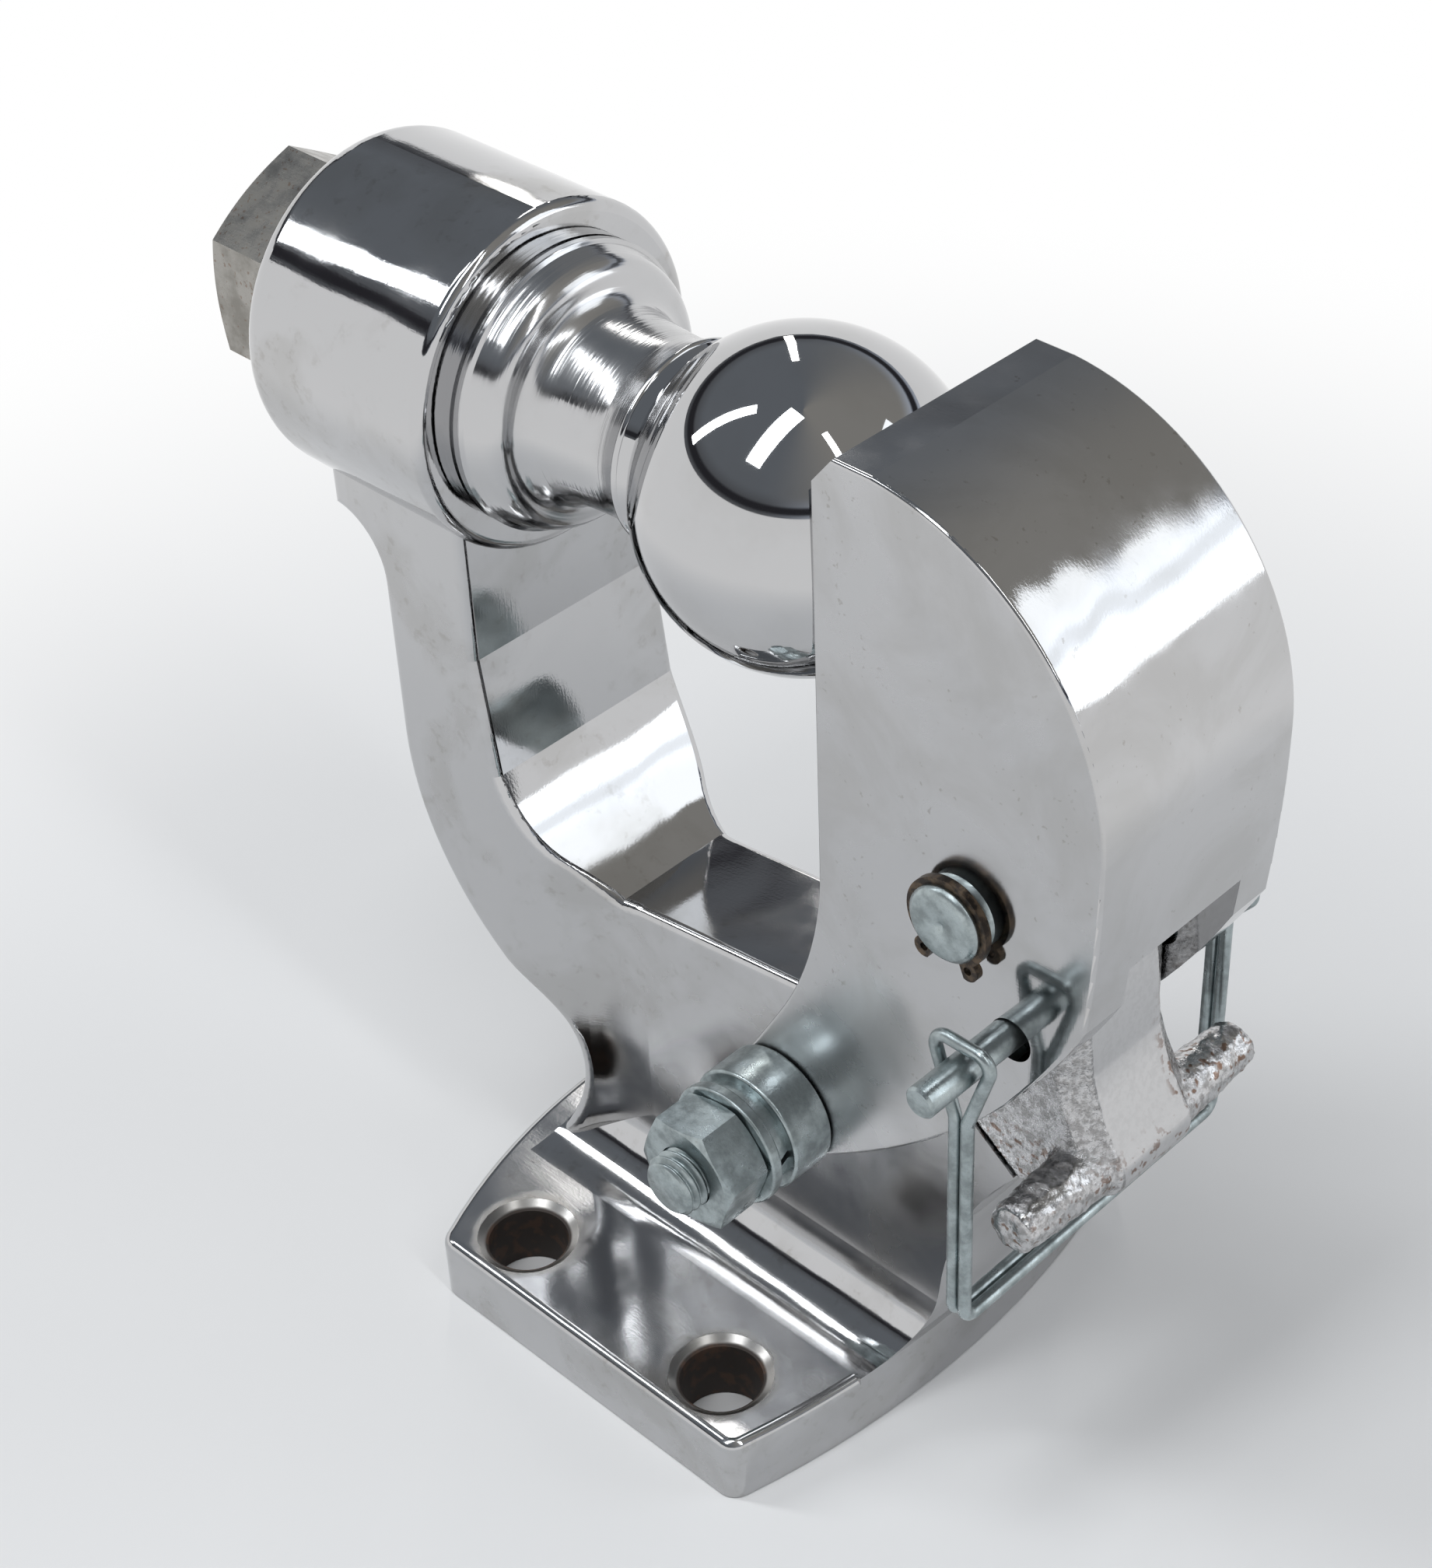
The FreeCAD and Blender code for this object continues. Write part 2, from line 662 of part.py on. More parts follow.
def make_pivot_bolt():
    end = near_stack(3) + pivot_bolt_overhang
    head = near_stack(0) + pivot_washer_thickness
    shank = rod_y(pivot_bolt_diameter / 2, pivot_x, pivot_z, -end, head)
    tip = [e for e in shank.Edges if e.BoundBox.YMax < -end + 0.01]
    shank = shank.makeChamfer(0.9, tip)
    base = vec(pivot_x, head, pivot_z)
    return shank.fuse(hex_prism(pivot_nut_across_flats, pivot_head_height, base, vec(0, 1, 0), 20)).removeSplitter()


# Pawl

def pawl_outline(setback, y):
    """Side view of the pawl: head, straight back, sloping toe and hub."""
    hub = hub_radius - setback * 0.7
    slope = math.tan(math.radians(ledge_angle))
    lift = pawl_ledge_gap / math.cos(math.radians(ledge_angle))
    toe_z = ledge_height(pawl_foot_x) + lift
    heel_z = ledge_height(pawl_back_x) + lift
    head_left = side_point(pawl_pivot_x - pawl_head_radius, pawl_pivot_z)
    head_top = side_point(pawl_pivot_x, pawl_pivot_z + pawl_head_radius)
    head_right = side_point(pawl_pivot_x + pawl_head_radius, pawl_pivot_z)
    knee = side_point(pawl_knee_x - setback, pawl_knee_z)
    hub_out = math.radians(22)
    hub_low = math.radians(-92)
    hub_mid = math.radians(-35)
    hub_start = side_point(horn_x + hub * math.cos(hub_out), horn_z + hub * math.sin(hub_out))
    hub_middle = side_point(horn_x + hub * math.cos(hub_mid), horn_z + hub * math.sin(hub_mid))
    hub_end = side_point(horn_x + hub * math.cos(hub_low), horn_z + hub * math.sin(hub_low))
    toe = side_point(pawl_foot_x, toe_z)
    heel = side_point(pawl_back_x, heel_z)
    turn = vec(0, -1, 0)
    edges = [Part.Arc(head_left, head_top, head_right).toShape()]
    edges.append(arc_edge(head_right, knee, 190.0, turn))
    edges.append(arc_edge(knee, hub_start, -40.0, turn))
    edges.append(Part.Arc(hub_start, hub_middle, hub_end).toShape())
    edges.append(Part.makeLine(hub_end, toe))
    edges.append(Part.makeLine(toe, heel))
    edges.append(arc_edge(heel, head_left, 600.0, turn))
    return Part.Wire(edges).translated(vec(0, y, 0))


def horn_bar():
    """Cross bar of the pawl with a horn tapering to each end."""
    length = horn_reach - pawl_strip_half_width
    near = Part.makeCone(horn_root_radius, horn_end_radius, length, vec(horn_x, -pawl_strip_half_width, horn_z), vec(0, -1, 0))
    far = Part.makeCone(horn_root_radius, horn_end_radius, length, vec(horn_x, pawl_strip_half_width, horn_z), vec(0, 1, 0))
    near = near.makeFillet(horn_end_round, [e for e in near.Edges if e.BoundBox.YMax < -horn_reach + 0.01])
    far = far.makeFillet(horn_end_round, [e for e in far.Edges if e.BoundBox.YMin > horn_reach - 0.01])
    middle = rod_y(horn_root_radius, horn_x, horn_z, -pawl_strip_half_width, pawl_strip_half_width)
    return near.fuse([middle, far])


def arc_slot():
    """Curved slot that lets the pawl swing out past the safety pin."""
    half = safety_diameter / 2 + safety_slot_clearance
    reach = math.hypot(safety_x - pawl_pivot_x, safety_z - pawl_pivot_z)
    start = math.degrees(math.atan2(safety_z - pawl_pivot_z, safety_x - pawl_pivot_x))
    end = start - pawl_travel
    wide = pawl_half_width + 1

    def place(radius, angle):
        turn = math.radians(angle)
        return side_point(pawl_pivot_x + radius * math.cos(turn), pawl_pivot_z + radius * math.sin(turn))

    middle = (start + end) / 2
    edges = [Part.Arc(place(reach + half, start), place(reach + half, middle), place(reach + half, end)).toShape()]
    edges.append(Part.makeLine(place(reach + half, end), place(reach - half, end)))
    edges.append(Part.Arc(place(reach - half, end), place(reach - half, middle), place(reach - half, start)).toShape())
    edges.append(Part.makeLine(place(reach - half, start), place(reach + half, start)))
    slot = side_prism(Part.Face(Part.Wire(edges)), wide)
    first = place(reach, start)
    last = place(reach, end)
    slot = slot.fuse(rod_y(half, first.x, first.z, -wide, wide))
    return slot.fuse(rod_y(half, last.x, last.z, -wide, wide))


def make_pawl():
    strip = pawl_strip_half_width
    body = Part.Face(pawl_outline(0, -strip)).extrude(vec(0, 2 * strip, 0))
    for side in (-1, 1):
        inner = pawl_outline(0, side * strip)
        outer = pawl_outline(pawl_bevel, side * pawl_half_width)
        body = body.fuse(Part.makeLoft([inner, outer], True, True))
    body = body.removeSplitter()
    body = body.fuse(horn_bar())
    body = body.cut(arc_slot())
    wide = pawl_half_width + 1
    body = body.cut(rod_y(pawl_pin_diameter / 2 + pawl_pin_clearance, pawl_pivot_x, pawl_pivot_z, -wide, wide))
    start = spring_seat_x() - spring_seat_depth - 2
    seat = Part.makeCylinder(spring_coil_radius + spring_wire, spring_seat_depth + 2, vec(start, 0, spring_height), vec(1, 0, 0))
    return body.cut(seat)


def make_pawl_pin():
    end = jaw_half_width + pawl_pin_standout
    pin = rod_y(pawl_pin_diameter / 2, pawl_pivot_x, pawl_pivot_z, -end, end)
    rims = [e for e in pin.Edges if e.BoundBox.YLength < 0.01 and e.BoundBox.XLength > 1]
    pin = pin.makeChamfer(pawl_pin_chamfer, rims)
    for side in (-1, 1):
        pin = pin.cut(clip_groove(side))
    return pin


def clip_inner():
    return pawl_pin_diameter / 2 - pawl_pin_groove_depth


def clip_far_face():
    return jaw_half_width + pawl_pin_standout - clip_end_margin


def clip_groove(side):
    outer = clip_far_face()
    inner = outer - clip_thickness
    low, high = sorted((side * inner, side * outer))
    ring = rod_y(pawl_pin_diameter / 2 + 1, pawl_pivot_x, pawl_pivot_z, low, high)
    return ring.cut(rod_y(clip_inner(), pawl_pivot_x, pawl_pivot_z, low, high))


def make_clip(side):
    """Retaining ring with two pierced ears at its lower opening."""
    outer = clip_far_face()
    low, high = sorted((side * outer, side * (outer - clip_thickness)))
    reach = clip_inner() + clip_width
    ring = rod_y(reach, pawl_pivot_x, pawl_pivot_z, low, high)
    half = math.radians(clip_gap_angle / 2)
    ears = []
    holes = []
    for turn in (-1, 1):
        angle = -math.pi / 2 + turn * (half + 0.16)
        far = reach + 0.5
        x = pawl_pivot_x + far * math.cos(angle)
        z = pawl_pivot_z + far * math.sin(angle)
        ears.append(rod_y(clip_ear_radius, x, z, low, high))
        holes.append(rod_y(clip_ear_hole, x, z, low, high))
    ring = ring.fuse(ears)
    ring = ring.cut(rod_y(clip_inner(), pawl_pivot_x, pawl_pivot_z, low, high))
    drop = reach + 6
    gap = side_face((pawl_pivot_x, pawl_pivot_z), [
        (pawl_pivot_x - drop * math.sin(half), pawl_pivot_z - drop * math.cos(half), 0),
        (pawl_pivot_x + drop * math.sin(half), pawl_pivot_z - drop * math.cos(half), 0),
        (pawl_pivot_x, pawl_pivot_z, 0)])
    ring = ring.cut(side_prism(gap, outer + 5))
    for hole in holes:
        ring = ring.cut(hole)
    return ring


def pocket_wall_x(height):
    """Place of the pocket's leaning back wall at one height."""
    share = (height - pocket_back_bend) / (pocket_top - pocket_back_bend)
    return pocket_back_x + pocket_back_lean * share


def spring_seat_x():
    """Floor of the spring's seat in the back of the pawl."""
    return pawl_back_x - 0.6 + spring_seat_depth


def make_pawl_spring():
    """Short compression spring between the pawl's seat and the back wall of the pocket."""
    start = pocket_wall_x(spring_height)
    end = spring_seat_x()
    length = end - start - spring_wire
    pitch = length / spring_turns
    helix = Part.makeHelix(pitch, length, spring_coil_radius)
    path = Part.Wire(helix.Edges)
    circle = Part.Wire(Part.makeCircle(spring_wire / 2, vec(spring_coil_radius, 0, 0), vec(0, 1, 0)))
    coil = path.makePipeShell([circle], True, True)
    coil.Placement = FreeCAD.Placement(vec(start + spring_wire / 2, 0, spring_height), FreeCAD.Rotation(vec(0, 0, 1), vec(1, 0, 0)))
    return coil


# Safety pin

def make_safety_pin():
    pin = rod_y(safety_diameter / 2, safety_x, safety_z, -safety_near_reach, safety_far_reach)
    tips = [e for e in pin.Edges if e.BoundBox.YLength < 0.01 and e.BoundBox.XLength > 1]
    pin = pin.makeChamfer(safety_chamfer, tips)
    ferrule = rod_y(ferrule_diameter / 2, safety_x, safety_z, safety_far_reach - ferrule_length, safety_far_reach - 0.5)
    rims = [e for e in ferrule.Edges if e.BoundBox.YLength < 0.01 and e.BoundBox.XLength > 1]
    pin = pin.fuse(ferrule.makeFillet(0.6, rims)).removeSplitter()
    cross = Part.makeCylinder(bail_wire / 2 + 0.02, 20, vec(safety_x - 10, bail_leg_y, safety_z), vec(1, 0, 0))
    return pin.cut(cross)


def round_path(points, bend):
    """Wire through the points with every inner corner rounded."""
    edges = []
    here = points[0]
    for i in range(1, len(points) - 1):
        corner = points[i]
        back = points[i - 1] - corner
        ahead = points[i + 1] - corner
        back.normalize()
        ahead.normalize()
        half = back.getAngle(ahead) / 2
        setback = bend / math.tan(half)
        enter = corner + back * setback
        leave = corner + ahead * setback
        bisector = back + ahead
        bisector.normalize()
        middle = corner + bisector * (bend / math.sin(half) - bend)
        edges.append(Part.makeLine(here, enter))
        edges.append(Part.Arc(enter, middle, leave).toShape())
        here = leave
    edges.append(Part.makeLine(here, points[-1]))
    return Part.Wire(edges)


def sweep_wire(points, bend, radius):
    path = round_path(points, bend)
    direction = points[1] - points[0]
    circle = Part.Wire(Part.makeCircle(radius, points[0], direction))
    return path.makePipeShell([circle], True, False)


def make_bail():
    """One bent wire: the loop round the pin, both legs, the foot and the ends in the ferrule."""
    radius = bail_wire / 2
    half = bail_spread / 2
    near = -bail_leg_y
    far = bail_leg_y
    join = safety_z - bail_loop_join
    top = safety_z + bail_loop_top
    wires = []
    for side in (-1, 1):
        x = safety_x + side * half
        wide = safety_x + side * bail_loop_half_width
        spread = safety_x + side * (ferrule_diameter / 2 + 1.2)
        points = [vec(safety_x, near, top), vec(wide, near, top)]
        points.append(vec(x, near, join))
        points += [vec(x, near, bail_foot_z), vec(x, far, bail_foot_z)]
        points.append(vec(x, far, join))
        points.append(vec(spread, far, safety_z - 4.5))
        points += [vec(spread, far, safety_z), vec(safety_x + side * 0.3, far, safety_z)]
        wires.append(sweep_wire(points, bail_bend, radius))
    return wires[0].fuse(wires[1])


def write_parts():
    os.makedirs("parts", exist_ok=True)
    NODES["hook_body"] = make_hook_body()
    NODES["hitch_ball"] = make_hitch_ball()
    NODES["ball_lock_washer"] = make_ball_lock_washer()
    NODES["ball_nut"] = make_ball_nut()
    NODES["jaw"] = make_jaw()
    NODES["jaw_pivot_bolt"] = make_pivot_bolt()
    NODES["jaw_pivot_nut"] = make_pivot_nut()
    NODES["jaw_pivot_lock_washer"] = make_lock_washer()
    NODES["jaw_pivot_washer_near"] = make_near_washer()
    NODES["jaw_pivot_washer_far"] = make_far_washer()
    NODES["jaw_pivot_collar_near"] = make_collar(-1)
    NODES["jaw_pivot_collar_far"] = make_collar(1)
    NODES["pawl"] = make_pawl()
    NODES["pawl_pivot_pin"] = make_pawl_pin()
    NODES["pawl_pin_circlip_near"] = make_clip(-1)
    NODES["pawl_pin_circlip_far"] = make_clip(1)
    NODES["pawl_spring"] = make_pawl_spring()
    NODES["safety_pin"] = make_safety_pin()
    NODES["safety_pin_bail"] = make_bail()
    for name, shape in NODES.items():
        shape.exportStep(os.path.join("parts", name + ".step"))


write_parts()
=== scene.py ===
import math

import bmesh
import bpy
from mathutils import Matrix, Vector, noise


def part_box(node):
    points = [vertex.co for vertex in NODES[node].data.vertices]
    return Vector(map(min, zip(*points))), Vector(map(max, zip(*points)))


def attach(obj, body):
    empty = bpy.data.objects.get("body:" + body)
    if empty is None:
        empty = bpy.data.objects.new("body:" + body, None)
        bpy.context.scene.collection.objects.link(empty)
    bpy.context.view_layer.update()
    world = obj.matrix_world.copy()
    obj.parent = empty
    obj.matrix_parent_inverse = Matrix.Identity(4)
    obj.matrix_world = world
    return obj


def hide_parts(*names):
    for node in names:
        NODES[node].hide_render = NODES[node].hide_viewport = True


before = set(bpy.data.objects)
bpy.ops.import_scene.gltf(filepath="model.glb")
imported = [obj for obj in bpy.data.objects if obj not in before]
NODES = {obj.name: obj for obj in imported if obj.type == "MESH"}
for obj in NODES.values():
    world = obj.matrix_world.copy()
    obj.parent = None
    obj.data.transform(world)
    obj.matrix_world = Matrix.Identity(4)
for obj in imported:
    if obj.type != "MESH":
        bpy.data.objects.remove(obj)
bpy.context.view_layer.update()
MM = 0.001

# Camera, as fitted to the photo: millimetres and pixels of the 1841 x 2016 frame
IMAGE_WIDTH = 1841
IMAGE_HEIGHT = 2016
FOCAL_PIXELS = 3825.14
CENTRE_X = 1013.24
CENTRE_Y = 1044.41
CAMERA_PLACE = (251.80, -253.93, 375.94)
CAMERA_RIGHT = Vector((0.72921, 0.68385, -0.02452))
CAMERA_DOWN = Vector((0.41183, -0.46719, -0.78238))
CAMERA_AHEAD = Vector((-0.54649, 0.56042, -0.62231))
SENSOR = 36.0

# Places that the solids give, in millimetres
HOLE_X = 22.5
HOLE_Y = 38.0
PLATE_TOP = 13.0
BOSS_FOOT = 122.0
NECK_END = -14.0
PIVOT = (21.0, 58.5)
PAWL_PIN = (55.8, 116.2)
BALL_AXIS_Z = 152.4
CLEAR_SPOT = (61.0, 105.0)

# Screw threads, in metres
PIVOT_THREAD = {"radius": 5.0 * MM, "pitch": 1.5 * MM, "depth": 0.85 * MM, "chamfer": 0.9 * MM}
STUD_THREAD = {"radius": 11.1 * MM, "pitch": 2.5 * MM, "depth": 1.4 * MM, "chamfer": 1.6 * MM}
INSIDE_PIVOT_NUT = 1.5 * MM
INSIDE_BALL_NUT = 4 * MM
THREAD_COLUMNS = 72
ROWS_A_TURN = 12

# The pawl's pin and its retaining rings, in metres
RING_SHIFT = 1.5 * MM
GROOVE_BACK = 1.3 * MM
GROOVE_WIDTH = 1.2 * MM
GROOVE_RADIUS = 5.3 * MM
PIN_RADIUS = 6.0 * MM

# The pawl's cast surface: half widths in metres, waves in parts of a metre
CAST_VOXEL = 0.00050
GROUND_HALF = 7.8 * MM
CAST_HALF = 8.8 * MM
HORN_REACH = 26.3 * MM
COARSE_WAVES = 520
FINE_WAVES = 1500


# Shader graphs

class Graph:
    """One material and short calls that add and join its nodes."""

    def __init__(self, name):
        self.material = bpy.data.materials.new(name)
        self.material.use_nodes = True
        self.tree = self.material.node_tree
        self.tree.nodes.clear()
        self.out = self.node("ShaderNodeOutputMaterial")
        self.coords = self.node("ShaderNodeTexCoord")

    def node(self, kind):
        return self.tree.nodes.new(kind)

    def link(self, source, target):
        self.tree.links.new(source, target)

    def put(self, target, value):
        if isinstance(value, bpy.types.NodeSocket):
            self.link(value, target)
        else:
            target.default_value = value

    def place(self):
        return self.coords.outputs["Object"]

    def stretched(self, x, y, z):
        mapping = self.node("ShaderNodeMapping")
        mapping.inputs["Scale"].default_value = (x, y, z)
        self.link(self.place(), mapping.inputs["Vector"])
        return mapping.outputs["Vector"]

    def noise(self, scale, detail=2.0, rough=0.5, vector=None, warp=0.0):
        made = self.node("ShaderNodeTexNoise")
        made.inputs["Scale"].default_value = scale
        made.inputs["Detail"].default_value = detail
        made.inputs["Roughness"].default_value = rough
        made.inputs["Distortion"].default_value = warp
        self.link(vector or self.place(), made.inputs["Vector"])
        return made.outputs["Fac"]

    def cells(self, scale, vector=None):
        made = self.node("ShaderNodeTexVoronoi")
        made.inputs["Scale"].default_value = scale
        self.link(vector or self.place(), made.inputs["Vector"])
        return made.outputs["Distance"]

    def calc(self, what, a, b=0.0):
        made = self.node("ShaderNodeMath")
        made.operation = what
        self.put(made.inputs[0], a)
        self.put(made.inputs[1], b)
        return made.outputs[0]

    def ramp(self, value, low, high, at_low=0.0, at_high=1.0):
        made = self.node("ShaderNodeMapRange")
        made.interpolation_type = "SMOOTHSTEP"
        self.put(made.inputs["Value"], value)
        made.inputs["From Min"].default_value = low
        made.inputs["From Max"].default_value = high
        made.inputs["To Min"].default_value = at_low
        made.inputs["To Max"].default_value = at_high
        return made.outputs["Result"]

    def mix(self, share, first, second):
        made = self.node("ShaderNodeMix")
        made.data_type = "RGBA"
        self.put(made.inputs["Factor"], share)
        for socket, value in ((made.inputs[6], first), (made.inputs[7], second)):
            self.put(socket, value if isinstance(value, bpy.types.NodeSocket) else (*value, 1.0))
        return made.outputs[2]

    def blend(self, share, first, second):
        made = self.node("ShaderNodeMix")
        made.data_type = "FLOAT"
        self.put(made.inputs["Factor"], share)
        self.put(made.inputs[2], first)
        self.put(made.inputs[3], second)
        return made.outputs[0]

    def axes(self, source=None):
        made = self.node("ShaderNodeSeparateXYZ")
        self.link(source or self.place(), made.inputs[0])
        return made.outputs

    def bump(self, height, distance, normal=None):
        made = self.node("ShaderNodeBump")
        made.inputs["Strength"].default_value = 1.0
        made.inputs["Distance"].default_value = distance
        self.link(height, made.inputs["Height"])
        if normal is not None:
            self.link(normal, made.inputs["Normal"])
        return made.outputs["Normal"]

    def metal(self, colour, rough, normal=None, metallic=1.0):
        made = self.node("ShaderNodeBsdfPrincipled")
        if not isinstance(colour, bpy.types.NodeSocket):
            colour = (*colour, 1.0)
        self.put(made.inputs["Base Color"], colour)
        self.put(made.inputs["Metallic"], metallic)
        self.put(made.inputs["Roughness"], rough)
        if normal is not None:
            self.link(normal, made.inputs["Normal"])
        self.link(made.outputs["BSDF"], self.out.inputs["Surface"])
        return self.material

    def side_facing(self, low=0.90, high=0.985):
        """1 on flat faces that look along Y."""
        across = self.axes(self.coords.outputs["Normal"])[1]
        return self.ramp(self.calc("ABSOLUTE", across), low, high)

    def ring_distance(self, x, y, centre_x, centre_y):
        """Distance from one axis, for a place given by its two coordinates."""
        run = self.calc("SUBTRACT", x, centre_x)
        rise = self.calc("SUBTRACT", y, centre_y)
        squares = self.calc("ADD", self.calc("MULTIPLY", run, run), self.calc("MULTIPLY", rise, rise))
        return self.calc("SQRT", squares)


def chrome_waves(graph, size, amount, normal=None):
    """Low waves of a hand-polished casting, size being their width in metres."""
    wave = graph.noise(1.0 / size, 1.5, 0.45, warp=0.6)
    return graph.bump(wave, amount, normal)


def fine_scratches(graph, normal, amount):
    along = graph.noise(1.0, 3.0, 0.6, graph.stretched(260, 2600, 2600))
    across = graph.noise(1.0, 3.0, 0.6, graph.stretched(2400, 2400, 220))
    both = graph.calc("ADD", along, across)
    return graph.bump(both, amount, normal)


CHROME = (0.52, 0.522, 0.53)
CHROME_DULL = (0.42, 0.417, 0.41)
CAST_PIT = (0.20, 0.195, 0.19)
NUT_PALE = (0.33, 0.32, 0.30)
NUT_DARK = (0.22, 0.21, 0.19)
SMUDGE = (0.30, 0.285, 0.26)
RUST = (0.14, 0.065, 0.03)
BORE = (0.045, 0.035, 0.03)
BORE_RUST = (0.085, 0.05, 0.034)
ZINC = (0.40, 0.455, 0.465)
ZINC_DARK = (0.24, 0.275, 0.28)
ZINC_SPECK = (0.20, 0.19, 0.17)
CLIP_DARK = (0.035, 0.028, 0.024)
CLIP_BROWN = (0.13, 0.095, 0.065)
WIRE_DARK = (0.22, 0.22, 0.22)
WIRE_PALE = (0.34, 0.33, 0.31)


def hook_chrome():
    """Mirror plating with satin sides, smudged plate edges and dark bolt bores."""
    g = Graph("hook_chrome")
    x, y, z = g.axes()
    flat = g.side_facing()
    below_boss = g.ramp(z, BOSS_FOOT * MM, (BOSS_FOOT + 4) * MM, 1.0, 0.0)
    satin = g.calc("MULTIPLY", flat, below_boss)
    under_plate_top = g.ramp(z, (PLATE_TOP - 1.0) * MM, (PLATE_TOP - 0.2) * MM, 1.0, 0.0)
    edge_of_plate = g.calc("MULTIPLY", under_plate_top, g.ramp(z, 0.0, 0.4 * MM))
    mottle = g.noise(55, 4.0, 0.55, warp=0.4)
    spots = g.noise(420, 3.0, 0.6)
    smear = g.calc("MULTIPLY", g.ramp(mottle, 0.46, 0.66), 0.55)
    colour = g.mix(smear, CHROME, CHROME_DULL)
    grime = g.calc("MULTIPLY", g.ramp(spots, 0.55, 0.72), g.ramp(mottle, 0.40, 0.62))
    colour = g.mix(g.calc("MULTIPLY", grime, 0.35), colour, SMUDGE)
    distance = g.ring_distance(g.calc("ABSOLUTE", x), g.calc("ABSOLUTE", y), HOLE_X * MM, HOLE_Y * MM)
    low = g.ramp(z, PLATE_TOP * MM, (PLATE_TOP + 1.0) * MM, 1.0, 0.0)
    worn = g.calc("ADD", distance, g.calc("MULTIPLY", g.noise(260, 3.0), 2.4 * MM))
    halo = g.calc("MULTIPLY", g.ramp(worn, 9.2 * MM, 11.6 * MM, 1.0, 0.0), low)
    colour = g.mix(g.calc("MULTIPLY", halo, 0.62), colour, SMUDGE)
    bore = g.calc("MULTIPLY", g.ramp(distance, 7.0 * MM, 7.5 * MM, 1.0, 0.0), low)
    rusty = g.mix(g.ramp(g.noise(330, 3.0), 0.5, 0.62), BORE, BORE_RUST)
    colour = g.mix(bore, colour, rusty)
    mirror_rough = g.ramp(mottle, 0.35, 0.7, 0.035, 0.11)
    satin_rough = g.ramp(mottle, 0.3, 0.7, 0.18, 0.30)
    rough = g.blend(satin, mirror_rough, satin_rough)
    rough = g.blend(g.calc("MULTIPLY", halo, 0.8), rough, 0.34)
    rough = g.blend(bore, rough, 0.7)
    rough = g.blend(g.calc("MULTIPLY", edge_of_plate, 0.25), rough, 0.30)
    normal = chrome_waves(g, 0.026, 0.00035)
    normal = fine_scratches(g, normal, 0.0000035)
    metallic = g.blend(bore, 1.0, 0.35)
    return g.metal(colour, rough, normal, metallic)


def jaw_chrome():
    """Wavy mirror on the outer band and throat, mottled satin on the two cheeks."""
    g = Graph("jaw_chrome")
    flat = g.side_facing()
    place = g.axes()
    mottle = g.noise(48, 5.0, 0.6, warp=0.5)
    cloud = g.noise(120, 4.0, 0.6)
    near_pins = g.ring_distance(place[0], place[2], CLEAR_SPOT[0] * MM, CLEAR_SPOT[1] * MM)
    clear = g.ramp(near_pins, 14 * MM, 27 * MM, 1.0, 0.0)
    share = g.calc("MULTIPLY", g.ramp(mottle, 0.40, 0.66), 0.50)
    colour = g.mix(share, CHROME, CHROME_DULL)
    specks = g.calc("MULTIPLY", g.ramp(g.noise(900, 2.0), 0.66, 0.74), g.ramp(cloud, 0.45, 0.6))
    colour = g.mix(g.calc("MULTIPLY", specks, 0.5), colour, SMUDGE)
    cheek = g.ramp(mottle, 0.3, 0.7, 0.24, 0.36)
    cheek = g.blend(clear, cheek, 0.075)
    rough = g.blend(flat, g.ramp(cloud, 0.35, 0.7, 0.05, 0.13), cheek)
    wide = chrome_waves(g, 0.034, 0.0008)
    normal = fine_scratches(g, wide, 0.000004)
    return g.metal(colour, rough, normal)


def ball_chrome():
    """Clean mirror on the ball, and turning marks on its neck and flange."""
    g = Graph("ball_chrome")
    cloud = g.noise(70, 4.0, 0.6)
    colour = g.mix(g.calc("MULTIPLY", g.ramp(cloud, 0.45, 0.7), 0.25), CHROME, CHROME_DULL)
    x = g.axes()[0]
    neck = g.ramp(x, NECK_END * MM, (NECK_END + 3) * MM, 1.0, 0.0)
    ball_rough = g.ramp(cloud, 0.4, 0.7, 0.02, 0.05)
    neck_rough = g.ramp(cloud, 0.35, 0.7, 0.10, 0.22)
    rough = g.blend(neck, ball_rough, neck_rough)
    turned = g.noise(1.0, 2.0, 0.6, g.stretched(1500, 30, 30))
    marks = g.calc("MULTIPLY", turned, neck)
    normal = g.bump(marks, 0.00006)
    normal = chrome_waves(g, 0.03, 0.00008, normal)
    return g.metal(colour, rough, normal)


